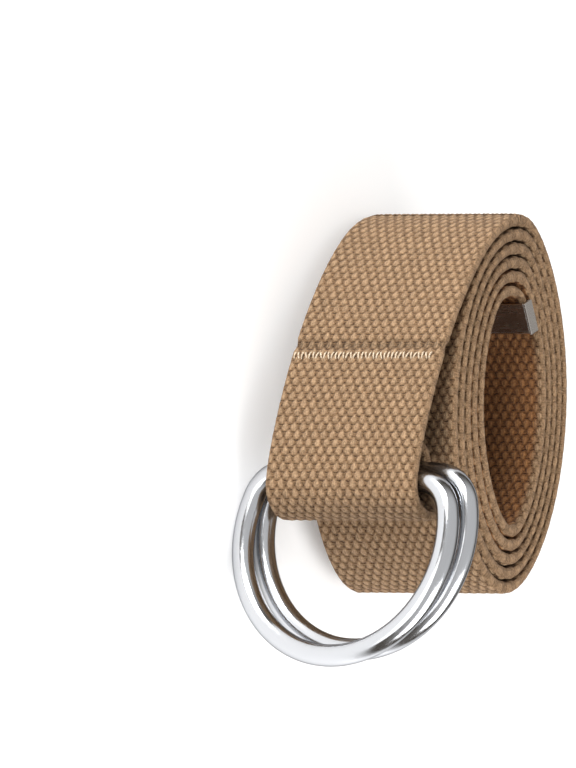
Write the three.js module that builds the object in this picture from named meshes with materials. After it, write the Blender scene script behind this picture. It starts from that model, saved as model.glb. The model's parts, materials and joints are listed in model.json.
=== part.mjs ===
// A woven webbing belt with two D-rings, rolled up and lying on its side.
// The strap is wound into an oval roll. Its outer end leaves the roll as a short tab, which is folded
// back round the bars of both rings and sewn down. A metal tip closes the inner end, in the core.
// In the roll's own frame X runs from the bare end of the oval to the ring end, Y from the front to
// the back, and Z along the roll's axis. The finished belt stands on the plane Z = 0.
import * as THREE from "three";
import { ConvexHull } from "three/addons/math/ConvexHull.js";

// Strap, in millimetres
const strapWidth = 38;
const strapThickness = 2.2;
const fitGap = 0.3;

// Roll
const turns = 5;
const turnPitch = 3;
const coreLength = 46;
const stepsPerTurn = 48;

// How far the core's wall and each further turn reach, in eight directions from the bare end round by
// the front, as shares of half the core's length and of the turn pitch
const rollShape = [
  { side: "bare end", reach: 1.0, pitch: 0.98 },
  { side: "bare end and front", reach: 0.75, pitch: 0.76 },
  { side: "front", reach: 0.39, pitch: 0.82 },
  { side: "ring end and front", reach: 0.725, pitch: 0.98 },
  { side: "ring end", reach: 1.0, pitch: 0.99 },
  { side: "ring end and back", reach: 0.775, pitch: 0.73 },
  { side: "back", reach: 0.45, pitch: 0.65 },
  { side: "bare end and back", reach: 0.835, pitch: 0.84 },
];

// Metal tip on the inner end
const tipLength = 7;
const tipPlate = 0.45;
const tippedStrap = 1.2;
const tipTurn = -0.185;
const windFrom = 0.04;

// Tab and fold
const leaveTurn = 0.12;
const tabDrop = 16.2;
const foldedEnd = -13.5;
const barPlay = 0.35;
const barSway = 1.2;

// Rings
const wire = 4.7;
const ringFlare = 9;
const ringHeight = 43.2;
const cornerRadius = 7.7;
const barStagger = 2.6;
const rings = [
  { name: "d_ring_front", order: 0, lean: 12.8, roll: 3.6, shift: 1.1 },
  { name: "d_ring_rear", order: 1, lean: 9.4, roll: 4.2, shift: 2.2 },
];

const fullTurn = 2 * Math.PI;
const barAbove = 1.9;
const ringWidth = strapWidth + 2 * ringFlare;
const bowRadius = (ringWidth - wire) / 2;
const bowDrop = ringHeight - wire - bowRadius;
const ringStep = wire + 0.8 * fitGap;

const webbingMaterial = new THREE.MeshStandardMaterial({ color: 0xb59a78, roughness: 0.9, metalness: 0 });
const chromeMaterial = new THREE.MeshStandardMaterial({ color: 0xd8d9dc, roughness: 0.12, metalness: 1 });
const tipMaterial = new THREE.MeshStandardMaterial({ color: 0xc8c9cc, roughness: 0.2, metalness: 1 });
webbingMaterial.userData.density = 0.8;
chromeMaterial.userData.density = 7.8;
tipMaterial.userData.density = 7.8;

// A smooth closed run through one value for each direction, which gives its value and slope
function aroundTheRoll(values) {
  const count = values.length;
  const terms = [];
  for (let order = 0; order <= count / 2; order += 1) {
    const weight = (order === 0 || order === count / 2 ? 1 : 2) / count;
    const term = { order, cosine: 0, sine: 0 };
    values.forEach((value, i) => {
      term.cosine += weight * value * Math.cos((order * i * fullTurn) / count);
      term.sine += weight * value * Math.sin((order * i * fullTurn) / count);
    });
    terms.push(term);
  }
  return (angle) => {
    const result = { value: 0, slope: 0 };
    for (const { order, cosine, sine } of terms) {
      result.value += cosine * Math.cos(order * angle) + sine * Math.sin(order * angle);
      result.slope += order * (sine * Math.cos(order * angle) - cosine * Math.sin(order * angle));
    }
    return result;
  };
}

const coreReach = aroundTheRoll(rollShape.map((row) => (row.reach * coreLength) / 2));
const layerPitch = aroundTheRoll(rollShape.map((row) => row.pitch * turnPitch));

// The direction that faces out of the roll at a turn, and the direction in which the strap runs there
const facing = (turn) => new THREE.Vector2(-Math.cos(turn * fullTurn), -Math.sin(turn * fullTurn));
const heading = (turn) => new THREE.Vector2(Math.sin(turn * fullTurn), -Math.cos(turn * fullTurn));

// The distance of a layer's wall from the roll's middle, with layer 0 inside the strap and 1 outside it
function wallReach(turn, layer) {
  const wall = coreReach(turn * fullTurn);
  const pitch = layerPitch(turn * fullTurn);
  return {
    value: wall.value + (turn + layer) * pitch.value,
    slope: wall.slope + (turn + layer) * pitch.slope + pitch.value / fullTurn,
  };
}

// A point of the wound strap, a little off the wall of its layer
function woundPoint(turn, layer, off = 0) {
  const reach = wallReach(turn, layer);
  return facing(turn).multiplyScalar(reach.value + off).addScaledVector(heading(turn), reach.slope);
}

// The two faces of the strap at one place along it
const woundStation = (turn) => ({
  outer: woundPoint(turn, 1, -fitGap / 2),
  inner: woundPoint(turn, 0, fitGap / 2),
});

function stationAt(point, direction, thickness) {
  const side = new THREE.Vector2(direction.y, -direction.x).normalize();
  return {
    outer: point.clone().addScaledVector(side, thickness / 2),
    inner: point.clone().addScaledVector(side, -thickness / 2),
  };
}

const thicknessOf = (station) => station.outer.distanceTo(station.inner);

// Stations along a curve, whose thickness goes smoothly from one value to the other
function stationsAlong(curve, steps, startThickness, endThickness) {
  const stations = [];
  for (let i = 0; i <= steps; i += 1) {
    const share = THREE.MathUtils.smoothstep(i / steps, 0, 1);
    const thickness = THREE.MathUtils.lerp(startThickness, endThickness, share);
    stations.push(stationAt(curve.getPoint(i / steps), curve.getTangent(i / steps), thickness));
  }
  return stations;
}

// A bend from one place and direction to another, with handles that are shares of the distance
function bend(start, startDirection, end, endDirection, startShare, endShare) {
  const span = start.distanceTo(end);
  return new THREE.CubicBezierCurve(
    start,
    start.clone().addScaledVector(startDirection, startShare * span),
    end.clone().addScaledVector(endDirection, -endShare * span),
    end,
  );
}

// The tip runs straight along the inside of the first turn, touching its curve nowhere
const tipThickness = tippedStrap + 2 * (fitGap + tipPlate);
const tipSeat = tipThickness / 2 + 2 * fitGap;
const tipOuterEnd = woundPoint(tipTurn, 1, -tipSeat).addScaledVector(heading(tipTurn), -tipLength / 2);
const tipMouth = tipOuterEnd.clone().addScaledVector(heading(tipTurn), tipLength);

// The inner end of the strap, from inside the tip to the first wound turn
function innerTail() {
  const strapEnd = tipOuterEnd.clone().addScaledVector(heading(tipTurn), tipPlate + fitGap);
  const clearMouth = tipMouth.clone().addScaledVector(heading(tipTurn), fitGap);
  const windStart = woundStation(windFrom);
  const windMiddle = windStart.outer.clone().add(windStart.inner).multiplyScalar(0.5);
  const bendIn = bend(clearMouth, heading(tipTurn), windMiddle, heading(windFrom), 0.36, 0.36);
  return [
    stationAt(strapEnd, heading(tipTurn), tippedStrap),
    ...stationsAlong(bendIn, 12, tippedStrap, thicknessOf(windStart)).slice(0, -1),
  ];
}

function woundTurns() {
  const windTo = turns + leaveTurn;
  const steps = Math.round((windTo - windFrom) * stepsPerTurn);
  const stations = [];
  for (let i = 0; i <= steps; i += 1) {
    stations.push(woundStation(THREE.MathUtils.lerp(windFrom, windTo, i / steps)));
  }
  return stations;
}

// How far the roll's skin bulges to the front beside a stretch of X
function frontOfRoll(fromX, toX) {
  const samples = 8 * stepsPerTurn;
  let front = 0;
  for (let i = 0; i <= samples; i += 1) {
    const skin = woundPoint(turns - 1 + i / samples, 1);
    if (skin.x >= fromX && skin.x <= toX) front = Math.min(front, skin.y);
  }
  return front;
}

// The fold's middle and the two bars in it
const ringLean = (THREE.MathUtils.degToRad(rings[0].lean) + THREE.MathUtils.degToRad(rings[1].lean)) / 2;
const barSpread = ringStep * Math.cos(ringLean) + barStagger * Math.sin(ringLean);
const barRise = barStagger * Math.cos(ringLean) - ringStep * Math.sin(ringLean);
const foldInner = (wire + barSpread) / 2 + barPlay;
const foldMiddle = foldInner + strapThickness / 2;
const rearBarX = tabDrop - barAbove - barRise;
const foldCentre = new THREE.Vector2(
  tabDrop,
  frontOfRoll(rearBarX - barSway, tabDrop) - fitGap - strapThickness - foldInner,
);
const barPlaces = [
  foldCentre.clone().add(new THREE.Vector2(-barAbove, -barSpread / 2)),
  foldCentre.clone().add(new THREE.Vector2(-barAbove - barRise, barSpread / 2)),
];

// The tab, the fold round the bars, and the end that lies behind the tab
function tabAndFold(lastWound) {
  const start = lastWound.outer.clone().add(lastWound.inner).multiplyScalar(0.5);
  const down = new THREE.Vector2(1, 0);
    const foldFront = foldCentre.clone().add(new THREE.Vector2(0, -foldMiddle));
  const foldBack = foldCentre.clone().add(new THREE.Vector2(0, foldMiddle));
  const tab = bend(start, heading(leaveTurn), foldFront, down, 0.4, 0.1);
  const fold = new THREE.EllipseCurve(
    foldCentre.x, foldCentre.y, foldMiddle, foldMiddle, -Math.PI / 2, Math.PI / 2, false,
  );
  const tabStations = stationsAlong(tab, 24, thicknessOf(lastWound), strapThickness);
  const foldStations = stationsAlong(fold, 16, strapThickness, strapThickness);

  // Over the rear bar, whose high end sways above its middle, and up against the back of the tab
  const overBar = new THREE.EllipseCurve(
    barPlaces[1].x - barSway, barPlaces[1].y, foldBack.y - barPlaces[1].y, foldBack.y - barPlaces[1].y,
    Math.PI / 2, Math.PI / 2 + THREE.MathUtils.degToRad(70), false,
  );
  const behind = [];
  for (let i = 0; i <= 24; i += 1) {
    const share = 1 - i / 24;
    const front = tab.getPoint(share);
    const side = tab.getTangent(share);
    const back = front.clone().addScaledVector(
      new THREE.Vector2(-side.y, side.x), strapThickness + fitGap,
    );
    if (back.x > foldedEnd) behind.push({ point: back, direction: side.negate() });
  }
  const barTop = overBar.getPoint(1);
  const joined = behind.filter((place) => place.point.x < barTop.x - 0.8 * wire);
  const lift = bend(barTop, overBar.getTangent(1), joined[0].point, joined[0].direction, 0.4, 0.35);
  return [
    ...tabStations.slice(1),
    ...foldStations.slice(1),
    ...stationsAlong(overBar, 6, strapThickness, strapThickness),
    ...stationsAlong(lift, 8, strapThickness, strapThickness).slice(1),
    ...joined.slice(1).map((place) => stationAt(place.point, place.direction, strapThickness)),
  ];
}

// The whole strap as one ribbon, with its edges square to the roll's axis
function makeWebbing() {
  const wound = woundTurns();
  const stations = [...innerTail(), ...wound, ...tabAndFold(wound[wound.length - 1])];
  const outline = [
    ...stations.map((station) => station.outer),
    ...stations.map((station) => station.inner).reverse(),
  ];
  const ribbon = new THREE.ExtrudeGeometry(new THREE.Shape(outline), {
    depth: strapWidth,
    bevelEnabled: false,
  });
  ribbon.translate(0, 0, -strapWidth / 2);
  const mesh = new THREE.Mesh(ribbon, webbingMaterial);
  mesh.name = "webbing";
  return mesh;
}

// A plate folded over the strap's inner end, open towards the strap
function makeStrapTip() {
  const half = tipThickness / 2;
  const slot = half - tipPlate;
  const profile = new THREE.Shape();
  profile.moveTo(tipPlate, -half);
  profile.lineTo(tipLength, -half);
  profile.lineTo(tipLength, -slot);
  profile.lineTo(tipPlate, -slot);
  profile.lineTo(tipPlate, slot);
  profile.lineTo(tipLength, slot);
  profile.lineTo(tipLength, half);
  profile.lineTo(tipPlate, half);
  profile.lineTo(0, slot);
  profile.lineTo(0, -slot);
  profile.closePath();
  const clip = new THREE.ExtrudeGeometry(profile, { depth: strapWidth, bevelEnabled: false });
  clip.translate(0, 0, -strapWidth / 2);
  const mesh = new THREE.Mesh(clip, tipMaterial);
  mesh.name = "strap_tip";
  mesh.position.set(tipOuterEnd.x, tipOuterEnd.y, 0);
  mesh.rotation.z = Math.atan2(heading(tipTurn).y, heading(tipTurn).x);
  return mesh;
}

// The middle of the wire: a straight bar, two round corners and a bow that is part of a circle
function ringPath() {
  const cornerX = Math.sqrt((bowRadius - cornerRadius) ** 2 - (bowDrop - cornerRadius) ** 2);
  const cornerEnd = Math.atan2(cornerRadius - bowDrop, cornerX);
  const path = new THREE.Path();
  path.moveTo(-cornerX, 0);
  path.lineTo(cornerX, 0);
  path.absarc(cornerX, cornerRadius, cornerRadius, -Math.PI / 2, cornerEnd, false);
  path.absarc(0, bowDrop, bowRadius, cornerEnd, Math.PI - cornerEnd, false);
  path.absarc(-cornerX, cornerRadius, cornerRadius, Math.PI - cornerEnd, 1.5 * Math.PI, false);
  const points = path.getSpacedPoints(64).slice(0, -1);
  return new THREE.CatmullRomCurve3(points.map((p) => new THREE.Vector3(p.x, p.y, 0)), true);
}

// A ring hangs from its bar, leans to the front and is turned a little in its own plane
function makeRing({ name, order, lean, roll, shift }) {
  const leanAngle = THREE.MathUtils.degToRad(lean);
  const rollAngle = THREE.MathUtils.degToRad(roll);
  const axis = new THREE.Vector3(0, 0, 1);
  const hang = new THREE.Vector3(Math.cos(leanAngle), -Math.sin(leanAngle), 0);
  const alongBar = axis.clone().multiplyScalar(Math.cos(rollAngle)).addScaledVector(hang, Math.sin(rollAngle));
  const toBow = hang.clone().multiplyScalar(Math.cos(rollAngle)).addScaledVector(axis, -Math.sin(rollAngle));
  const faceNormal = alongBar.clone().cross(toBow);
  const mesh = new THREE.Mesh(
    new THREE.TubeGeometry(ringPath(), 88, wire / 2, 14, true),
    chromeMaterial,
  );
  mesh.name = name;
  mesh.quaternion.setFromRotationMatrix(new THREE.Matrix4().makeBasis(alongBar, toBow, faceNormal));
  mesh.position.set(barPlaces[order].x, barPlaces[order].y, shift);
  return mesh;
}

// Points of all meshes in the frame of the group that holds them
function pointsOf(group) {
  group.updateMatrixWorld(true);
  const points = [];
  group.traverse((object) => {
    if (!object.isMesh) return;
    const positions = object.geometry.attributes.position;
    for (let i = 0; i < positions.count; i += 1) {
      points.push(new THREE.Vector3().fromBufferAttribute(positions, i).applyMatrix4(object.matrixWorld));
    }
  });
  return points;
}

// The belt's centre of mass, from the signed volumes that the triangles span with the frame's origin
function centreOfMass(group) {
  group.updateMatrixWorld(true);
  const centre = new THREE.Vector3();
  let mass = 0;
  for (const mesh of group.children) {
    const flat = mesh.geometry.index ? mesh.geometry.toNonIndexed() : mesh.geometry;
    const positions = flat.attributes.position;
    for (let i = 0; i < positions.count; i += 3) {
      const [a, b, c] = [0, 1, 2].map((corner) =>
        new THREE.Vector3().fromBufferAttribute(positions, i + corner).applyMatrix4(mesh.matrixWorld),
      );
      const share = (mesh.material.userData.density * a.dot(b.clone().cross(c))) / 6;
      centre.addScaledVector(a.add(b).add(c), share / 4);
      mass += share;
    }
  }
  return centre.divideScalar(mass);
}

// Tips the roll from its flat edges to where it really rests: on the rings and the edge opposite
function layDown(group) {
  const down = new THREE.Vector3(0, 0, -1);
  const centre = centreOfMass(group);
  const hull = new ConvexHull().setFromPoints(pointsOf(group));
  const nearlyDown = hull.faces.filter((face) => face.normal.dot(down) > Math.cos(Math.PI / 6));
  nearlyDown.sort((a, b) => b.distanceToPoint(centre) - a.distanceToPoint(centre));
  group.quaternion.setFromUnitVectors(nearlyDown[0].normal, down);
  const box = new THREE.Box3().setFromPoints(pointsOf(group));
  const middle = box.getCenter(new THREE.Vector3());
  group.position.set(-middle.x, -middle.y, -box.min.z);
}

const rolledBelt = new THREE.Group();
rolledBelt.add(makeWebbing(), makeStrapTip(), ...rings.map(makeRing));
layDown(rolledBelt);

const belt = new THREE.Group();
belt.add(rolledBelt);

export default belt;
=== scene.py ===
# %% [markdown]
# Double ring belt
#
# A woven webbing belt, rolled up. The strap is wound into an oval, and its outer end is folded round
# the bars of two chromed D-rings and sewn down with a zigzag row. This notebook dresses the packed
# model: the strap gets rounded edges and a real raised weave, the rings become smooth wire, the tip
# gets soft corners, and the stitches are laid one by one.
#
# The roll lies a little tipped on the floor, so most of the work is done in the roll's own axes and
# carried to the floor's axes at the end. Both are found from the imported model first.

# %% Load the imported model
import json
import math

import bmesh
import bpy
import numpy as np
from mathutils import Matrix, Vector

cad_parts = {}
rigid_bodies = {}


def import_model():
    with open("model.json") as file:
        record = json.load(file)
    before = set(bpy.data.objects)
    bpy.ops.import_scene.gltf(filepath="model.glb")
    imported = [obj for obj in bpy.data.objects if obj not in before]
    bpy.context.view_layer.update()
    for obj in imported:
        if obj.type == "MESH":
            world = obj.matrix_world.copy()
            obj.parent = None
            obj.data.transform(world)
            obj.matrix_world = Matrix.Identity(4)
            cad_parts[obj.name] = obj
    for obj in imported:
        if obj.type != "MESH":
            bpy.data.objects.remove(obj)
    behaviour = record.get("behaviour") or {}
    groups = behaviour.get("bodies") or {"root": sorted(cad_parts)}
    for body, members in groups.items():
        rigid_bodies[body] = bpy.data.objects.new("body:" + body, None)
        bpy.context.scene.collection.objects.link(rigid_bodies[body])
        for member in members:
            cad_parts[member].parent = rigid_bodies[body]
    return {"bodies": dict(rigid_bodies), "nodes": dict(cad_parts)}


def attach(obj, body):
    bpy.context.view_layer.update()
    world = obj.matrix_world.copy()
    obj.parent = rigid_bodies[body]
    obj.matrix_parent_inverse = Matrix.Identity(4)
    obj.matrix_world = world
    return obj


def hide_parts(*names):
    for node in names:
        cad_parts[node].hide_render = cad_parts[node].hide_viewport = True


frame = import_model()
scene = bpy.context.scene
for leftover in [thing for thing in scene.objects if thing.name in ("Cube", "Light", "Camera")]:
    bpy.data.objects.remove(leftover)
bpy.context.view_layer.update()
mm = 0.001

# %% [markdown]
# The roll's own axes
#
# All turns of the strap end in one flat plane on each side of the roll. The triangles of the upper
# side share one direction, which is the roll's axis. The belt was laid down with the smallest turn
# that does it, so turning +Z on to that axis by the shortest way gives the roll's other two axes too:
# X runs from the bare end to the ring end, and Y from the front, where the tab is, to the back.


# %% Find the roll's axes
def triangles_of(node):
    mesh = frame["nodes"][node].data
    mesh.calc_loop_triangles()
    points = np.array([vertex.co for vertex in mesh.vertices])
    corners = np.array([triangle.vertices for triangle in mesh.loop_triangles])
    return points[corners]


def unit(vectors):
    return vectors / np.linalg.norm(vectors, axis=-1, keepdims=True)


strap_triangles = triangles_of("webbing")
crossed = np.cross(
    strap_triangles[:, 1] - strap_triangles[:, 0], strap_triangles[:, 2] - strap_triangles[:, 0]
)
facing = unit(crossed)
steepest = facing[np.argmax(facing[:, 2] * np.linalg.norm(crossed, axis=1))]
on_open_side = facing @ steepest > 0.9999
roll_axis = unit(crossed[on_open_side].sum(axis=0))
roll_turn = Vector((0, 0, 1)).rotation_difference(Vector(roll_axis)).to_matrix()
roll_axes = np.array(roll_turn)


def to_roll(points):
    return np.asarray(points) @ roll_axes


def to_floor(points):
    return np.asarray(points) @ roll_axes.T


strap_in_roll = to_roll(strap_triangles)
open_plane = strap_in_roll[..., 2].max()
shut_plane = strap_in_roll[..., 2].min()
strap_width = open_plane - shut_plane
mid_plane = (open_plane + shut_plane) / 2
print("roll axis:", roll_axis.round(4), "strap width, mm:", round(strap_width / mm, 2))

# %% [markdown]
# The strap's outline
#
# Seen along the roll's axis the strap is one long ribbon. The border of its flat upper side is found
# by keeping each edge that only one triangle uses. Walking round it from one end of the strap gives
# one face of the ribbon, and the way back gives the other.


# %% Walk round the outline
def border_loop(triangles):
    """The border of a patch of triangles, as points in order."""
    keys = np.round(triangles / (0.001 * mm)).astype(np.int64)
    place = {tuple(key): point for key, point in zip(keys.reshape(-1, 2), triangles.reshape(-1, 2))}
    uses = {}
    for corners in keys:
        for start, end in zip(corners, np.roll(corners, -1, axis=0)):
            edge = frozenset((tuple(start), tuple(end)))
            uses[edge] = uses.get(edge, 0) + 1
    beside = {}
    for edge, count in uses.items():
        if count == 1 and len(edge) == 2:
            first, second = edge
            beside.setdefault(first, []).append(second)
            beside.setdefault(second, []).append(first)
    walk = [min(beside)]
    walk.append(beside[walk[0]][0])
    while len(walk) < len(beside):
        walk.append(next(key for key in beside[walk[-1]] if key != walk[-2]))
    return np.array([place[key] for key in walk])


def split_faces(loop, start_near):
    """The two faces of the ribbon between its square ends, both from the end near a point."""
    before = unit(loop - np.roll(loop, 1, axis=0))
    after = unit(np.roll(loop, -1, axis=0) - loop)
    square = (before * after).sum(axis=1) < 0.3
    first, second = np.flatnonzero(square & np.roll(square, -1))[:2]
    one = loop[first + 1: second + 1]
    other = np.roll(loop, -(second + 1), axis=0)[: len(loop) - len(one)][::-1]
    if np.linalg.norm(one[-1] - start_near) < np.linalg.norm(one[0] - start_near):
        one, other = one[::-1], other[::-1]
    return one, other


outline = border_loop(strap_in_roll[on_open_side][:, :, :2])
tip_middle = to_roll(triangles_of("strap_tip").reshape(-1, 3))[:, :2].mean(axis=0)
faces = split_faces(outline, tip_middle)
core_middle = (outline.min(axis=0) + outline.max(axis=0)) / 2
reach = [np.linalg.norm(face[len(face) // 2] - core_middle) for face in faces]
outer_points, inner_points = faces if reach[0] > reach[1] else faces[::-1]
print("outline points:", len(outer_points), "outside,", len(inner_points), "inside")

# %% [markdown]
# Sections of the strap
#
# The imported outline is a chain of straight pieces. A smooth line through its points is drawn for each
# face, with each point's slope weighed from the pieces beside it. Each place on the outer line is then
# paired with the nearest place on the inner line, and the pairs are spaced evenly along the strap,
# a few for each row of the weave, so that every row later gets the same relief.

# %% Cut the strap into even sections
row_pitch = 1.72 * mm
sections_per_row = 4
fine_step = 0.08 * mm
pairing_reach = 40


def smooth_line(points, spacing):
    knots = np.r_[0, np.cumsum(np.linalg.norm(np.diff(points, axis=0), axis=1))]
    step = np.diff(knots)[:, None]
    secant = np.diff(points, axis=0) / step
    middle = (secant[:-1] * step[1:] + secant[1:] * step[:-1]) / (step[:-1] + step[1:])
    slope = np.vstack([secant[:1], middle, secant[-1:]])
    along = np.linspace(0, knots[-1], int(knots[-1] / spacing) + 1)
    knot = np.clip(np.searchsorted(knots, along, side="right") - 1, 0, len(step) - 1)
    width = step[knot]
    share = (along - knots[knot])[:, None] / width
    rest = 1 - share
    start = points[knot] * (1 + 2 * share) * rest**2 + slope[knot] * width * share * rest**2
    end = points[knot + 1] * share**2 * (3 - 2 * share) - slope[knot + 1] * width * share**2 * rest
    return start + end


outer_line = smooth_line(outer_points, fine_step)
inner_line = smooth_line(inner_points, fine_step)
paired = np.zeros(len(outer_line), int)
for place in range(1, len(outer_line)):
    start = paired[place - 1]
    near = inner_line[start: start + pairing_reach]
    paired[place] = start + np.argmin(np.linalg.norm(near - outer_line[place], axis=1))
outer_line = np.vstack([outer_line, outer_points[-1]])
inner_line = np.vstack([inner_line[paired], inner_points[-1]])
middle_line = (outer_line + inner_line) / 2
run = np.r_[0, np.cumsum(np.linalg.norm(np.diff(middle_line, axis=0), axis=1))]
strap_length = run[-1]
section_count = round(strap_length / row_pitch * sections_per_row) + 1
along = np.linspace(0, strap_length, section_count)


def at_sections(line):
    return np.column_stack([np.interp(along, run, line[:, axis]) for axis in (0, 1)])


outer, inner = at_sections(outer_line), at_sections(inner_line)
middle = (outer + inner) / 2
outwards = unit(outer - inner)
thickness = np.linalg.norm(outer - inner, axis=1)
print("strap length, mm:", round(strap_length / mm), "sections:", section_count)
print("thickness, mm:", (thickness.min() / mm).round(2), "to", (thickness.max() / mm).round(2))

# %% [markdown]
# Where the strap shows
#
# Most of the strap is buried between its neighbours, and a raised weave there would only cost
# triangles. A probe is held a little off each face. Where another turn lies right against it, that
# face gets one plain strip between its edges. Elsewhere it gets the full grid for the weave.

# %% Find which faces show
probe_off = 1.0 * mm
buried_within = 1.2 * mm
own_stretch = 8 * mm
blend_rows = 1


def shows(face, direction):
    probe = face + direction * probe_off
    gap = np.linalg.norm(probe[:, None] - middle[None], axis=2)
    gap[np.abs(along[:, None] - along[None]) < own_stretch] = np.inf
    clear = gap.min(axis=1) > buried_within
    reach = blend_rows * sections_per_row
    spread = np.convolve(clear, np.ones(2 * reach + 1), mode="same") > 0
    return spread


outer_shows = shows(outer, outwards)
inner_shows = shows(inner, -outwards)
fold_tight = (thickness < 1.9 * mm) & (along > strap_length * 0.8)
inner_shows &= ~np.roll(fold_tight, 4)
print("rows that show:", int(outer_shows.sum() / sections_per_row), "outside,",
      int(inner_shows.sum() / sections_per_row), "inside")

# %% [markdown]
# The strap's surface
#
# Each section is a loop: the outer face from the shut side to the open side, a half-round edge, the
# inner face back again, and the other edge. Three numbers are kept for each point: how many cells
# across the strap it lies, how many rows along it, and how far out on an edge. Round an edge the
# count of cells runs on to the middle of the edge and mirrors there, as the yarn does when it turns.
# The folded-back end lies a little askew under the tab, so it stops short of the open side.

# %% Build the strap's surface
cells_across = 16
points_per_cell = 4
edge_reach = 0.95 * mm
edge_points = 4
corner_share = 0.5
flat_half = strap_width / 2 - edge_reach
cell_width = 2 * flat_half / cells_across
across_count = cells_across * points_per_cell
print("cell, mm:", round(cell_width / mm, 2), "by", round(row_pitch / mm, 2))

# %% Find the fold at the rings
last_stretch = np.flatnonzero(along > strap_length * 0.8)
fold_section = last_stretch[middle[last_stretch, 0].argmax()]
fold_low = outer[fold_section, 0]
askew_step = 5.5 * mm
askew_from, askew_over = 1 * mm, 8 * mm
past_fold = along - along[fold_section]
askew = askew_step * np.clip((past_fold - askew_from) / askew_over, 0, 1)
print("from the fold to the bare end of the strap, mm:", round(past_fold[-1] / mm, 1))


def edge_profile():
    """Shares of the reach and of half the thickness for the points of a half-round edge."""
    angle = np.linspace(0, math.pi, edge_points + 2)[1:-1]
    return np.sin(angle), np.cos(angle)


def edge_cells():
    """How many cells each point of an edge lies from the flat, mirrored in the middle."""
    angle = np.linspace(0, math.pi, edge_points + 2)[1:-1]
    arc = (edge_reach + 1.1 * mm) / 2 * np.minimum(angle, math.pi - angle)
    return arc / cell_width


class StrapSurface:
    """Collects the points and faces of the strap, section by section."""

    def __init__(self):
        self.points = []
        self.weave = []
        self.faces = []

    def add_point(self, section, share, height, cells, edge=0.0):
        plane = middle[section] + outwards[section] * share * thickness[section] / 2
        narrowed = height * (1 - askew[section] / strap_width) - askew[section] / 2
        self.points.append((plane[0], plane[1], mid_plane + narrowed))
        self.weave.append((cells, section / sections_per_row, edge))
        return len(self.points) - 1

    def add_flat(self, section, share, is_fine, direction):
        count = across_count if is_fine else 1
        heights = np.linspace(-flat_half, flat_half, count + 1)[::direction]
        near_edge = corner_share * np.clip(1 - (flat_half - np.abs(heights)) / cell_width, 0, 1)
        near_edge *= is_fine
        return [
            self.add_point(section, share, h, h / cell_width, e) for h, e in zip(heights, near_edge)
        ]

    def add_edge(self, section, side, direction):
        reach, share = edge_profile()
        cells = edge_cells()
        corner = flat_half / cell_width
        edge = corner_share + (1 - corner_share) * reach
        steps = list(zip(reach, share, cells, edge))[::direction]
        return [
            self.add_point(section, s, side * (flat_half + edge_reach * r), side * (corner + c), e)
            for r, s, c, e in steps
        ]

    def add_section(self, section):
        return {
            "outer": self.add_flat(section, 1, outer_shows[section], 1),
            "open": self.add_edge(section, 1, 1),
            "inner": self.add_flat(section, -1, inner_shows[section], -1),
            "shut": self.add_edge(section, -1, -1),
        }

    def bridge(self, here, there):
        """Joins two runs of points, square by square, or by one face where their counts differ."""
        if len(here) == len(there):
            for start in range(len(here) - 1):
                self.faces.append((here[start], here[start + 1], there[start + 1], there[start]))
        else:
            self.faces.append((*here, *there[::-1]))

    def join(self, here, there):
        order = ("outer", "open", "inner", "shut")
        for part, following in zip(order, order[1:] + order[:1]):
            if part in ("outer", "inner"):
                self.bridge(here[part], there[part])
            else:
                before = order[order.index(part) - 1]
                run_here = [here[before][-1], *here[part], here[following][0]]
                run_there = [there[before][-1], *there[part], there[following][0]]
                self.bridge(run_here, run_there)

    def close_end(self, section, is_start):
        loop = [point for part in ("outer", "open", "inner", "shut") for point in section[part]]
        self.faces.append(tuple(loop) if is_start else tuple(loop[::-1]))


surface = StrapSurface()
sections = [surface.add_section(section) for section in range(section_count)]
for here, there in zip(sections, sections[1:]):
    surface.join(here, there)
surface.close_end(sections[0], True)
surface.close_end(sections[-1], False)
strap_mesh = bpy.data.meshes.new("webbing_strap")
strap_mesh.from_pydata(to_floor(surface.points).tolist(), [], surface.faces)
strap_mesh.update()
triangle_count = sum(len(face) - 2 for face in surface.faces)
print("strap surface triangles:", triangle_count)


def make_outward(mesh):
    """Turns every face outwards, and reports the enclosed volume."""
    shell = bmesh.new()
    shell.from_mesh(mesh)
    bmesh.ops.recalc_face_normals(shell, faces=shell.faces)
    volume = shell.calc_volume(signed=True)
    if volume < 0:
        bmesh.ops.reverse_faces(shell, faces=shell.faces)
    shell.to_mesh(mesh)
    shell.free()
    return abs(volume)


volume = make_outward(strap_mesh)
print("strap volume, cm3:", round(volume * 1e6, 1))
weave = strap_mesh.attributes.new("weave", "FLOAT_VECTOR", "POINT")
weave.data.foreach_set("vector", np.array(surface.weave, np.float32).ravel())
strap = bpy.data.objects.new("webbing_strap", strap_mesh)
scene.collection.objects.link(strap)

# %% [markdown]
# Node trees from Python expressions
#
# A relief or a colour that follows a rule is easiest to read as a formula. This small class wraps a
# node's output, so that adding, multiplying or comparing two of them adds the Math node that does it.
# The same formulas then serve in a geometry tree, where they raise the weave, and in a material, where
# they colour it. Any other node comes from one helper that sets its options and links its inputs.


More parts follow.
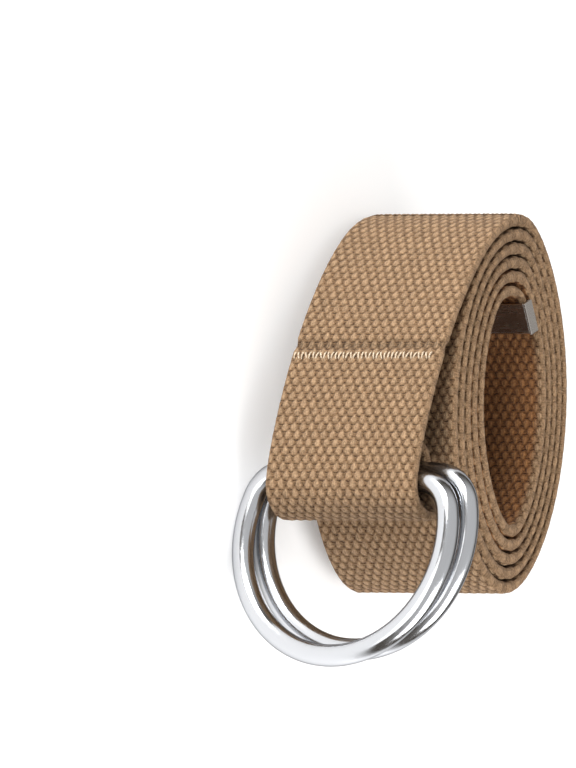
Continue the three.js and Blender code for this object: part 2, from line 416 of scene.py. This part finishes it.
# %% Wrap a socket so that Python operators add nodes
class Wire:
    def __init__(self, tree, socket):
        self.tree = tree
        self.socket = socket

    def math(self, operation, *others, **settings):
        return add_node(
            self.tree, "ShaderNodeMath", {"operation": operation, **settings}, [self, *others]
        )

    def __add__(self, other):
        return self.math("ADD", other)

    def __radd__(self, other):
        return self.math("ADD", other)

    def __sub__(self, other):
        return self.math("SUBTRACT", other)

    def __rsub__(self, other):
        return add_node(self.tree, "ShaderNodeMath", {"operation": "SUBTRACT"}, [other, self])

    def __mul__(self, other):
        return self.math("MULTIPLY", other)

    def __rmul__(self, other):
        return self.math("MULTIPLY", other)

    def __truediv__(self, other):
        return self.math("DIVIDE", other)

    def __pow__(self, other):
        return self.math("POWER", other)

    def floor(self):
        return self.math("FLOOR")

    def fraction(self):
        return self.math("FRACT")

    def highest(self, other):
        return self.math("MAXIMUM", other)

    def lowest(self, other):
        return self.math("MINIMUM", other)

    def held(self, low=0.0, high=1.0):
        return self.highest(low).lowest(high)

    def smooth(self, low, high):
        """0 below low and 1 above high, with a soft step between."""
        settings = {"interpolation_type": "SMOOTHSTEP"}
        return add_node(
            self.tree, "ShaderNodeMapRange", settings,
            {"Value": self, "From Min": low, "From Max": high, "To Min": 0.0, "To Max": 1.0},
        )


def add_node(tree, kind, settings, inputs, output=0):
    """Adds a node, sets its options, then its inputs by place or by name, and returns one output."""
    node = tree.nodes.new(kind)
    for name, value in settings.items():
        setattr(node, name, value)
    named = inputs.items() if isinstance(inputs, dict) else enumerate(inputs)
    for key, value in named:
        if isinstance(value, Wire):
            tree.links.new(value.socket, node.inputs[key])
        else:
            node.inputs[key].default_value = value
    return Wire(tree, node.outputs[output])


# %% [markdown]
# The weave
#
# In this webbing, flat bundles of yarn rise over one row and dive under the next, half a cell aside.
# A raised bundle shows as a pillow shaped like a drop: it comes up slowly from a narrow neck, widens,
# and ends in a steep round brow. Lower cross yarns show between the pillows, and a thin dark crease
# runs under each brow. The formula looks at the row behind a place, whose brow may reach it, and the
# row ahead, whose neck may. It keeps what is highest and cuts the crease.

# %% Write the weave as a formula
pillow_across = 0.47
brow_reach = 0.6
neck_reach = 0.92
neck_narrowing = 0.42
cross_yarn = 0.42
crease_width = 0.26


def pillow(cells, away, half_width, reach):
    """1 on a pillow's top and 0 at its outline, at a distance in rows from its middle."""
    aside = ((cells + 0.5).fraction() - 0.5) / half_width
    ahead = away / reach
    return 1 - aside * aside - ahead * ahead


def weave_height(cells, rows):
    """1 on a pillow's top, about a third on the cross yarns and 0 in the creases."""
    row_behind = rows.floor()
    odd = (row_behind * 0.5).fraction()
    away = rows - row_behind
    to_next = 1 - away
    brow = pillow(cells - odd, away, pillow_across, brow_reach)
    neck_width = pillow_across * (1 - to_next * neck_narrowing)
    neck = pillow(cells - odd + 0.5, to_next, neck_width, neck_reach)
    off_crease = (brow + crease_width / 2) / crease_width
    crease = (1 - off_crease * off_crease).held() * (1 - neck.smooth(0.1, 0.5))
    return brow.highest(neck).highest(cross_yarn) - crease * cross_yarn


# %% [markdown]
# Raising the weave
#
# The relief is real geometry, because it shows against the background at the roll's outline. A
# geometry tree reads the cells and rows kept on each point, and pushes the pits below the strap's
# surface along its normal. The relief fades on the edges, where the cross yarns turn back in a close,
# even band. One row of the weave is pressed deeper just above the stitches, where the folded-back
# end stops and the top layer steps down.


# %% Build the relief as Geometry Nodes
class GeometryTree:
    """A geometry node tree with named inputs, for one modifier."""

    def __init__(self, name):
        self.tree = bpy.data.node_groups.new(name, "GeometryNodeTree")
        interface = self.tree.interface
        interface.new_socket("Geometry", in_out="INPUT", socket_type="NodeSocketGeometry")
        interface.new_socket("Geometry", in_out="OUTPUT", socket_type="NodeSocketGeometry")
        self.entry = self.tree.nodes.new("NodeGroupInput")
        self.exit = self.tree.nodes.new("NodeGroupOutput")
        self.values = {}

    def geometry(self):
        return Wire(self.tree, self.entry.outputs["Geometry"])

    def size(self, name, value):
        kind = "NodeSocketInt" if isinstance(value, int) else "NodeSocketFloat"
        socket = self.tree.interface.new_socket(name, in_out="INPUT", socket_type=kind)
        self.values[socket.identifier] = value
        return Wire(self.tree, self.entry.outputs[name])

    def node(self, kind, settings, inputs, output=0):
        return add_node(self.tree, kind, settings, inputs, output)

    def finish(self, geometry, material):
        real = self.node("GeometryNodeRealizeInstances", {}, [geometry])
        smooth = self.node("GeometryNodeSetShadeSmooth", {}, {"Geometry": real})
        painted = self.node("GeometryNodeSetMaterial", {}, {"Geometry": smooth, "Material": material})
        self.tree.links.new(painted.socket, self.exit.inputs["Geometry"])

    def bake(self, piece):
        """Runs the tree on a piece and keeps the result as a plain mesh."""
        modifier = piece.modifiers.new(self.tree.name, "NODES")
        modifier.node_group = self.tree
        for identifier, value in self.values.items():
            modifier[identifier] = value
        graph = bpy.context.evaluated_depsgraph_get()
        result = bpy.data.meshes.new_from_object(piece.evaluated_get(graph))
        result.name = piece.name
        piece.modifiers.clear()
        if piece.type == "MESH":
            piece.data = result
            return piece
        replacement = bpy.data.objects.new(piece.name, result)
        scene.collection.objects.link(replacement)
        name = piece.name
        bpy.data.objects.remove(piece)
        replacement.name = name
        return replacement


def split_vector(tree, vector):
    node = tree.nodes.new("ShaderNodeSeparateXYZ")
    tree.links.new(vector.socket, node.inputs[0])
    return [Wire(tree, output) for output in node.outputs]


webbing_finish = bpy.data.materials.new("khaki_webbing")
relief_depth = 0.34 * mm
stitches_above_fold = 34.7 * mm
press_above_stitches = 2.1 * mm
press_depth = 1.2


def tab_section(above_fold):
    """The section of the tab's outer layer at a height above the fold's lowest point."""
    on_tab = np.arange(fold_section - 40 * sections_per_row, fold_section)
    return on_tab[np.abs(outer[on_tab, 0] - (fold_low - above_fold)).argmin()]


pressed_row = tab_section(stitches_above_fold + press_above_stitches) / sections_per_row


def pressed(rows):
    """1 on the pressed row, and 0 a row away from it."""
    return (1 - (rows - pressed_row).math("ABSOLUTE")).held()


def raise_weave(piece):
    relief = GeometryTree("raised_weave")
    depth = relief.size("Relief Depth", relief_depth)
    kept = relief.node("GeometryNodeInputNamedAttribute", {"data_type": "FLOAT_VECTOR"}, ["weave"])
    cells, rows, edge = split_vector(relief.tree, kept)
    height = weave_height(cells, rows) ** 0.8
    sink = ((height - 1) * (1 - edge * 0.8) - pressed(rows) * press_depth) * depth
    normal = relief.node("GeometryNodeInputNormal", {}, [])
    settings = {"operation": "SCALE"}
    offset = relief.node("ShaderNodeVectorMath", settings, {"Vector": normal, "Scale": sink})
    moved = relief.node(
        "GeometryNodeSetPosition", {}, {"Geometry": relief.geometry(), "Offset": offset}
    )
    relief.finish(moved, webbing_finish)
    return relief.bake(piece)


strap = raise_weave(strap)
print("strap triangles:", sum(len(face.vertices) - 2 for face in strap.data.polygons))

# %% [markdown]
# The webbing's finish
#
# Spun cotton is matt. Its colour carries painted shade that follows the weave: the tops of the pillows
# keep a pale khaki, the cross yarns between them are painted a mid brown of shade, and the creases a
# warm dark brown of shade. The innermost turn, in the core of the roll, is painted a deeper brown of
# shade that fades out over a few rows, and the pressed row above the stitches is darkened as painted
# shade too. Four thin yarns lie side by side on each pillow, which a fine bump shows, and a grain of
# fibres breaks up the highlights. The colour of each pillow differs a little from the next.


# %% Make materials by formula
class Finish:
    """A material whose nodes are added by expressions."""

    def __init__(self, material):
        material.use_nodes = True
        self.material = material
        self.tree = material.node_tree
        self.surface = self.tree.nodes["Principled BSDF"]

    def node(self, kind, settings, inputs, output=0):
        return add_node(self.tree, kind, settings, inputs, output)

    def set(self, **values):
        for name, value in values.items():
            socket = self.surface.inputs[name.replace("_", " ")]
            if isinstance(value, Wire):
                self.tree.links.new(value.socket, socket)
            else:
                socket.default_value = value

    def object_place(self):
        return self.node("ShaderNodeTexCoord", {}, [], "Object")

    def noise(self, vector, scale, detail=2.0, roughness=0.5):
        inputs = {"Vector": vector, "Scale": scale, "Detail": detail, "Roughness": roughness}
        return self.node("ShaderNodeTexNoise", {}, inputs, "Fac")

    def mix(self, factor, first, second, blend="MIX"):
        settings = {"data_type": "RGBA", "blend_type": blend}
        inputs = {0: factor, 6: first, 7: second}
        return self.node("ShaderNodeMix", settings, inputs, 2)

    def bump(self, height, distance, strength=1.0, normal=None):
        inputs = {"Strength": strength, "Distance": distance, "Height": height}
        if normal is not None:
            inputs["Normal"] = normal
        return self.node("ShaderNodeBump", {}, inputs)


# Painted shade: the creases and the low cross yarns are coloured darker than the pale khaki tops.
crease_painted_shade = (0.050, 0.022, 0.009, 1)
cross_yarn_painted_shade = (0.190, 0.112, 0.058, 1)
top_khaki = (0.335, 0.218, 0.125, 1)
edge_tan = (0.260, 0.162, 0.090, 1)
# Painted shade inside the roll: the innermost turn's colour is multiplied darker and browner, fading out
# over a few rows.
core_painted_shade = (0.92, 0.66, 0.45, 1)
core_shade_rows = 125
core_shade_fading_rows = 8


def finish_webbing(material):
    cloth = Finish(material)
    kept = cloth.node("ShaderNodeAttribute", {"attribute_name": "weave"}, [], "Vector")
    cells, rows, edge = split_vector(cloth.tree, kept)
    place = cloth.object_place()
    wobble = cloth.noise(place, 1100.0, 3.0, 0.6) - 0.5
    drift = cloth.noise(place, 260.0) - 0.5
    height = weave_height(cells + wobble * 0.34 + drift * 0.12, rows + wobble * 0.5)

    round_turn = 2 * math.pi
    warp_yarns = ((cells * 4 + wobble * 0.9) * round_turn).math("SINE") * 0.5 + 0.5
    cross_yarns = ((rows * 3 + wobble * 0.9) * round_turn).math("SINE") * 0.5 + 0.5
    fibres = cloth.noise(place, 1900.0, 3.0, 0.75).smooth(0.32, 0.68)
    patches = cloth.noise(place, 60.0, 2.0)
    pillow_number = cloth.node(
        "ShaderNodeCombineXYZ", {},
        [(cells * 2 + 0.5).floor(), rows.math("ROUND"), 0.0],
    )
    lot = cloth.node(
        "ShaderNodeTexWhiteNoise", {"noise_dimensions": "2D"}, {"Vector": pillow_number}, "Value"
    )

    raised = height.smooth(0.4, 0.85)
    # Painted shade by the weave's height: dark brown in the creases, mid brown on the cross yarns, khaki
    # on the tops.
    colour = cloth.mix(height.smooth(0.02, 0.34), crease_painted_shade, cross_yarn_painted_shade)
    colour = cloth.mix(raised, colour, top_khaki)
    colour = cloth.mix(edge.smooth(0.55, 0.95) * 0.8, colour, edge_tan)
    # Painted shade in the core of the roll, kept off the edges.
    core_shade_mask = (1 - rows.smooth(core_shade_rows - core_shade_fading_rows, core_shade_rows)) * (1 - edge.smooth(0.1, 0.6))
    colour = cloth.mix(core_shade_mask, colour, core_painted_shade, "MULTIPLY")
    yarns = raised * warp_yarns + (1 - raised) * cross_yarns
    # Random tone of yarns, fibres and patches, with painted shade darkening the pressed row where the
    # top layer steps down.
    tone_and_painted_shade = 0.5 + lot * 0.14 + fibres * 0.6 + patches * 0.1 + yarns * 0.24 - pressed(rows) * 0.4
    tone_and_shade_grey = cloth.node("ShaderNodeCombineColor", {}, [tone_and_painted_shade, tone_and_painted_shade, tone_and_painted_shade])
    colour = cloth.mix(1.0, colour, tone_and_shade_grey, "MULTIPLY")

    fine = yarns * 0.4 + fibres * 0.9 + height * 1.2 * (1 - edge * 0.5)
    cloth.set(
        Base_Color=colour, Roughness=0.95, Normal=cloth.bump(fine, 0.2 * mm, 1.0),
        Sheen_Weight=0.06, Sheen_Roughness=0.5, Specular_IOR_Level=0.12,
    )


finish_webbing(webbing_finish)

# %% [markdown]
# The stitches
#
# A zigzag of cream thread crosses the tab and holds the folded-back end. It could be one long bent
# thread, but under the pale tops only the slanted bars of thread show, and each end dives into the
# cloth. So one short bar with round, sunken ends is made once, and Geometry Nodes repeat it along a
# line on the tab, leaning left and right in turn.

# %% Find the stitch line on the tab
stitch_section = tab_section(stitches_above_fold)
stitch_normal = np.append(outwards[stitch_section], 0)
stitch_along = np.append(unit(middle[stitch_section + 2] - middle[stitch_section - 2]), 0)
stitch_place = np.append(outer[stitch_section], mid_plane)
print("stitch row at, mm:", (stitch_place / mm).round(1))

# %% Lay the stitches
thread_radius = 0.2 * mm
stitch_length = 1.9 * mm
stitch_spacing = 0.92 * mm
stitch_lean = math.radians(11)
stitch_stray = math.radians(12)
row_start = -strap_width / 2 + 1.2 * mm
row_end = strap_width / 2 - 2.6 * mm
thread_finish = bpy.data.materials.new("cream_thread")


def thread_bar(material):
    """One bar of thread along X, bowed up in Z, with its ends sunk."""
    rings, sides = 6, 6
    points, faces = [], []
    for ring in range(rings + 1):
        share = 2 * ring / rings - 1
        radius = thread_radius * math.sqrt(max(1 - share**6, 0.02))
        rise = (1 - share**2) * 0.34 * mm - 0.2 * mm
        for side in range(sides):
            angle = 2 * math.pi * side / sides
            points.append((
                share * stitch_length / 2,
                radius * math.cos(angle),
                rise + radius * math.sin(angle),
            ))
    for ring in range(rings):
        for side in range(sides):
            beside = (side + 1) % sides
            here, there = ring * sides, (ring + 1) * sides
            faces.append((here + side, here + beside, there + beside, there + side))
    faces.append(tuple(range(sides))[::-1])
    faces.append(tuple(rings * sides + side for side in range(sides)))
    mesh = bpy.data.meshes.new("thread_bar")
    mesh.from_pydata(points, [], faces)
    make_outward(mesh)
    mesh.materials.append(material)
    bar = bpy.data.objects.new("thread_bar", mesh)
    scene.collection.objects.link(bar)
    return bar


def lay_stitches(name, place, along_strap, normal):
    """A row of stitches across the strap, through a place on its surface."""
    count = int((row_end - row_start) / stitch_spacing)
    carrier = bpy.data.meshes.new(name)
    across = np.array([0, 0, 1.0])
    heights = np.linspace(row_start, row_end, count)
    carrier.from_pydata(to_floor(place + heights[:, None] * across).tolist(), [], [])
    piece = bpy.data.objects.new(name, carrier)
    scene.collection.objects.link(piece)
    stitches = GeometryTree(name + "_tree")
    lean = stitches.size("Stitch Lean", stitch_lean)
    bar = thread_bar(thread_finish)
    bar_shape = stitches.node("GeometryNodeObjectInfo", {}, {"Object": bar}, "Geometry")
    dots = stitches.node("GeometryNodeMeshToPoints", {}, {"Mesh": stitches.geometry()})
    index = stitches.node("GeometryNodeInputIndex", {}, [])
    side = (index * 0.5).fraction() * 4 - 1
    stray = {2: -stitch_stray, 3: stitch_stray, "Seed": 3}
    loose = stitches.node("FunctionNodeRandomValue", {"data_type": "FLOAT"}, stray, 1)
    spin = stitches.node("ShaderNodeCombineXYZ", {}, [0.0, 0.0, side * lean + loose])
    across_strap = np.cross(normal, along_strap)
    on_tab = np.column_stack([to_floor(along_strap), to_floor(across_strap), to_floor(normal)])
    placed = stitches.node(
        "GeometryNodeInstanceOnPoints", {},
        {"Points": dots, "Instance": bar_shape, "Rotation": tuple(Matrix(on_tab.tolist()).to_euler())},
    )
    leaned = stitches.node(
        "GeometryNodeRotateInstances", {},
        {"Instances": placed, "Rotation": spin, "Local Space": True},
    )
    stitches.finish(leaned, thread_finish)
    piece = stitches.bake(piece)
    bpy.data.objects.remove(bar)
    return piece


stitch_row = lay_stitches("stitch_row", stitch_place, stitch_along, stitch_normal)
print("stitch row triangles:", sum(len(face.vertices) - 2 for face in stitch_row.data.polygons))


def finish_thread(material):
    thread = Finish(material)
    place = thread.object_place()
    fuzz = thread.noise(place, 4200.0, 3.0)
    colour = thread.mix(fuzz.smooth(0.3, 0.7), (0.34, 0.24, 0.15, 1), (0.74, 0.62, 0.46, 1))
    thread.set(
        Base_Color=colour, Roughness=0.55, Normal=thread.bump(fuzz, 0.08 * mm, 0.6),
        Sheen_Weight=0.2, Sheen_Roughness=0.4,
    )


finish_thread(thread_finish)

# %% [markdown]
# The rings
#
# Each ring is one length of round wire bent to a D and welded in the bar, where the fold hides the
# joint. The bend is a straight bar, two tight corners and a bow that is part of a circle. The packed
# ring says where the D lies and how far it is turned: its longest direction is the bar's, and its
# thinnest is square to its plane. A curve then carries a round profile through Geometry Nodes, fine
# enough that the polish shows no flats.

# %% Bend the wire
wire = 4.7 * mm
corner_radius = 7.7 * mm
wire_sides = 32
arc_step = math.radians(3)
chrome_finish = bpy.data.materials.new("ring_chrome")


def ring_place(node):
    """The middle of the bar, the bar's direction, the direction to the bow, and the D's size."""
    points = triangles_of(node).reshape(-1, 3)
    _, _, axes = np.linalg.svd(points - points.mean(axis=0), full_matrices=False)
    along_bar, to_bow, square = axes
    if to_bow @ to_floor([1, 0, 0]) < 0:
        to_bow = -to_bow
    low, high = [np.array([edge(points @ axis) for axis in (along_bar, to_bow, square)])
                 for edge in (np.min, np.max)]
    centre = (low + high) / 2
    bar_middle = (
        along_bar * centre[0] + to_bow * (low[1] + wire / 2) + square * centre[2]
    )
    return bar_middle, along_bar, to_bow, high[0] - low[0], high[1] - low[1]


def arc(centre_x, centre_y, radius, start, end):
    steps = max(int(abs(end - start) / arc_step), 2)
    angles = np.linspace(start, end, steps + 1)
    return np.column_stack([centre_x + radius * np.cos(angles), centre_y + radius * np.sin(angles)])


def bent_wire(width, height):
    """The middle of the wire in the D's plane, from the bar's middle, with the bow at +Y."""
    bow_radius = (width - wire) / 2
    bow_centre = height - wire - bow_radius
    corner_x = math.sqrt((bow_radius - corner_radius) ** 2 - (bow_centre - corner_radius) ** 2)
    corner_end = math.atan2(corner_radius - bow_centre, corner_x)
    runs = [
        arc(corner_x, corner_radius, corner_radius, -math.pi / 2, corner_end),
        arc(0, bow_centre, bow_radius, corner_end, math.pi - corner_end)[1:],
        arc(-corner_x, corner_radius, corner_radius, math.pi - corner_end, 1.5 * math.pi)[1:],
        np.column_stack([np.linspace(-corner_x, corner_x, 12)[1:-1], np.zeros(10)]),
    ]
    return np.vstack(runs)


def make_ring(name, node):
    bar_middle, along_bar, to_bow, width, height = ring_place(node)
    flat = bent_wire(width, height)
    points = bar_middle + flat[:, :1] * along_bar + flat[:, 1:] * to_bow
    curve = bpy.data.curves.new(name, "CURVE")
    curve.dimensions = "3D"
    spline = curve.splines.new("POLY")
    spline.points.add(len(points) - 1)
    spline.points.foreach_set("co", np.column_stack([points, np.ones(len(points))]).ravel())
    spline.use_cyclic_u = True
    piece = bpy.data.objects.new(name, curve)
    scene.collection.objects.link(piece)
    ring = GeometryTree(name + "_tree")
    radius = ring.size("Wire Radius", wire / 2)
    sides = ring.size("Wire Sides", wire_sides)
    profile = ring.node(
        "GeometryNodeCurvePrimitiveCircle", {"mode": "RADIUS"}, {"Resolution": sides, "Radius": radius}
    )
    tube = ring.node(
        "GeometryNodeCurveToMesh", {}, {"Curve": ring.geometry(), "Profile Curve": profile}
    )
    ring.finish(tube, chrome_finish)
    piece = ring.bake(piece)
    make_outward(piece.data)
    return piece


rings = {node: make_ring(node.replace("d_ring", "chrome_ring"), node)
         for node in ("d_ring_front", "d_ring_rear")}
for ring in rings.values():
    print(ring.name, "triangles:", 2 * len(ring.data.polygons))


def finish_chrome(material):
    chrome = Finish(material)
    place = chrome.object_place()
    waves = chrome.noise(place, 110.0, 2.0)
    hazing = chrome.noise(place, 700.0, 4.0, 0.6)
    rough = 0.17 + hazing.smooth(0.45, 0.8) * 0.1
    chrome.set(
        Base_Color=(0.56, 0.57, 0.59, 1), Specular_Tint=(0.3, 0.3, 0.31, 1),
        Metallic=1.0, Roughness=rough,
        Normal=chrome.bump(waves, 0.25 * mm, 0.25),
    )


finish_chrome(chrome_finish)

# %% [markdown]
# The strap's tip
#
# A strip of plated sheet is folded over the strap's inner end and pressed flat, and small wings close
# its two sides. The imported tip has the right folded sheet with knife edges, so a copy of it is welded,
# a wing is set against each side, and all of them get narrow rounded edges, which catch the light as
# the real ones do.

# %% Round the tip's edges
tip_edge = 0.12 * mm
wing_thickness = 0.4 * mm
wing_gap = 0.05 * mm
tip_finish = bpy.data.materials.new("tip_plate")


def add_wing(shell, side):
    """A plate over one side of the tip, as long and as thick as the folded sheet."""
    heading = unit(middle[4] - middle[0])
    axes = np.column_stack([heading, [-heading[1], heading[0]]])
    spread = to_roll(triangles_of("strap_tip").reshape(-1, 3))[:, :2] @ axes
    centre = axes @ (spread.min(axis=0) + spread.max(axis=0)) / 2
    length, depth = np.ptp(spread, axis=0)
    lift = strap_width / 2 + wing_gap + wing_thickness / 2
    turn = np.column_stack([*np.vstack([axes, [0, 0]]).T, [0, 0, 1]])
    place = to_floor([*centre, mid_plane + side * lift])
    size = Matrix.Diagonal((length, depth, wing_thickness, 1))
    turned = Matrix((roll_axes @ turn).tolist()).to_4x4()
    bmesh.ops.create_cube(shell, size=1, matrix=Matrix.Translation(place) @ turned @ size)


def make_tip():
    mesh = frame["nodes"]["strap_tip"].data.copy()
    mesh.name = "metal_tip"
    mesh.materials.clear()
    mesh.materials.append(tip_finish)
    shell = bmesh.new()
    shell.from_mesh(mesh)
    bmesh.ops.remove_doubles(shell, verts=shell.verts, dist=0.001 * mm)
    flat = math.radians(2)
    bmesh.ops.dissolve_limit(shell, angle_limit=flat, verts=shell.verts, edges=shell.edges)
    for side in (1, -1):
        add_wing(shell, side)
    sharp = [edge for edge in shell.edges if edge.calc_face_angle(0) > math.radians(20)]
    bmesh.ops.bevel(
        shell, geom=sharp, offset=tip_edge, segments=2, profile=0.5, affect="EDGES", clamp_overlap=True
    )
    shell.to_mesh(mesh)
    shell.free()
    tip = bpy.data.objects.new("metal_tip", mesh)
    scene.collection.objects.link(tip)
    return tip


tip = make_tip()


def finish_tip(material):
    plate = Finish(material)
    place = plate.object_place()
    brushed = plate.node("ShaderNodeMapping", {}, {"Vector": place, "Scale": (900.0, 900.0, 60.0)})
    grain = plate.noise(brushed, 1.0, 2.0)
    plate.set(
        Base_Color=(0.6, 0.56, 0.52, 1), Metallic=1.0, Roughness=0.2 + grain * 0.14,
        Normal=plate.bump(grain, 0.02 * mm, 0.3),
    )


finish_tip(tip_finish)

# %% [markdown]
# Ride and replace
#
# The belt has no joints, so every piece rides on the one body. Each new piece is listed with the
# imported solid that it stands for, which is then hidden, and with a material slot.

# %% Tie the pieces to the frame
body = next(iter(frame["bodies"]))
for piece, node, slot in (
    (strap, "webbing", "webbing"),
    (tip, "strap_tip", "tip_metal"),
    (rings["d_ring_front"], "d_ring_front", "ring_metal"),
    (rings["d_ring_rear"], "d_ring_rear", "ring_metal"),
):
    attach(piece, body)
    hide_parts(node)
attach(stitch_row, body)

# %% [markdown]
# Floor and light
#
# The photo is a catalogue cut-out on white. A large pale floor and wide, soft lights come closest to
# that. The camera is rolled a quarter turn, so the light that seems to come from above in the picture
# stands beside the roll's bare end.

# %% Set the camera's axes
view_lean = math.radians(34.5)
towards_camera = to_floor([0, -math.cos(view_lean), math.sin(view_lean)])
image_right = to_floor([0, math.sin(view_lean), math.cos(view_lean)])
image_up = to_floor([-1, 0, 0])


# %% Lay the floor and hang the lights
paper_glow = 0.12


def lay_floor():
    mesh = bpy.data.meshes.new("floor")
    half = 2.5
    mesh.from_pydata([(-half, -half, 0), (half, -half, 0), (half, half, 0), (-half, half, 0)], [],
                     [(0, 1, 2, 3)])
    floor = bpy.data.objects.new("floor", mesh)
    scene.collection.objects.link(floor)
    paper = Finish(bpy.data.materials.new("white_paper"))
    paper.set(
        Base_Color=(0.92, 0.92, 0.92, 1), Roughness=0.9, Specular_IOR_Level=0.0,
        Emission_Color=(1, 1, 1, 1), Emission_Strength=paper_glow,
    )
    mesh.materials.append(paper.material)


def hang_light(name, direction, distance, size, power, colour=(1, 1, 1)):
    light = bpy.data.lights.new(name, "AREA")
    light.shape = "RECTANGLE"
    light.size, light.size_y = size
    light.energy = power
    light.color = colour
    lamp = bpy.data.objects.new(name, light)
    scene.collection.objects.link(lamp)
    aim = unit(direction[0] * image_right + direction[1] * image_up + direction[2] * towards_camera)
    lamp.location = aim * distance
    lamp.rotation_mode = "QUATERNION"
    lamp.rotation_quaternion = Vector(aim).to_track_quat("Z", "Y")
    lamp.visible_camera = False


def light_room():
    """A bright ceiling over darker walls, which gives the polished wire its dark outlines."""
    world = scene.world or bpy.data.worlds.new("studio")
    scene.world = world
    world.use_nodes = True
    room = world.node_tree
    direction = add_node(room, "ShaderNodeTexCoord", {}, [], "Object")
    height = split_vector(room, direction)[2]
    inputs = {0: height.smooth(0.1, 0.75), 6: (0.1, 0.08, 0.06, 1), 7: (1, 1, 1, 1)}
    colour = add_node(room, "ShaderNodeMix", {"data_type": "RGBA"}, inputs, 2)
    background = room.nodes["Background"]
    room.links.new(colour.socket, background.inputs["Color"])
    background.inputs["Strength"].default_value = 0.75


lay_floor()
hang_light("key", (-0.25, 0.85, 0.75), 0.9, (0.5, 0.5), 10.0)
hang_light("front_fill", (-0.55, -0.1, 0.85), 1.0, (0.7, 0.7), 4.0)
hang_light("edge_fill", (0.55, -0.75, 0.45), 0.3, (0.2, 0.2), 0.7)
light_room()

# %% [markdown]
# The camera
#
# The photo's lines along the roll hardly converge, so it was taken from far off with a long lens. The
# strap is 38 mm wide, which gives the picture's scale. One corner of the roll, where its back meets
# its bare end on the open side, is matched to its place in the photo, and that fixes the framing.

# %% Place the camera
photo_size = (576, 768)
photo_scale = 4.75 / mm
roll_corner_px = (568.6, 214.7)
camera_distance = 4.0
sensor = 36.0


def place_camera():
    corner = to_floor([outline[:, 0].min(), outline[:, 1].max(), open_plane])
    right = (photo_size[0] / 2 - roll_corner_px[0]) / photo_scale
    up = (roll_corner_px[1] - photo_size[1] / 2) / photo_scale
    aim = corner + right * image_right + up * image_up
    data = bpy.data.cameras.new("camera")
    data.sensor_width = sensor
    data.lens = photo_scale * camera_distance * sensor / max(photo_size)
    data.clip_start, data.clip_end = 0.05, 20
    camera = bpy.data.objects.new("camera", data)
    scene.collection.objects.link(camera)
    axes = np.column_stack([image_right, image_up, towards_camera])
    camera.matrix_world = Matrix.Translation(aim + camera_distance * towards_camera) @ Matrix(
        axes.tolist()
    ).to_4x4()
    scene.camera = camera


place_camera()
scene.view_settings.view_transform = "Standard"
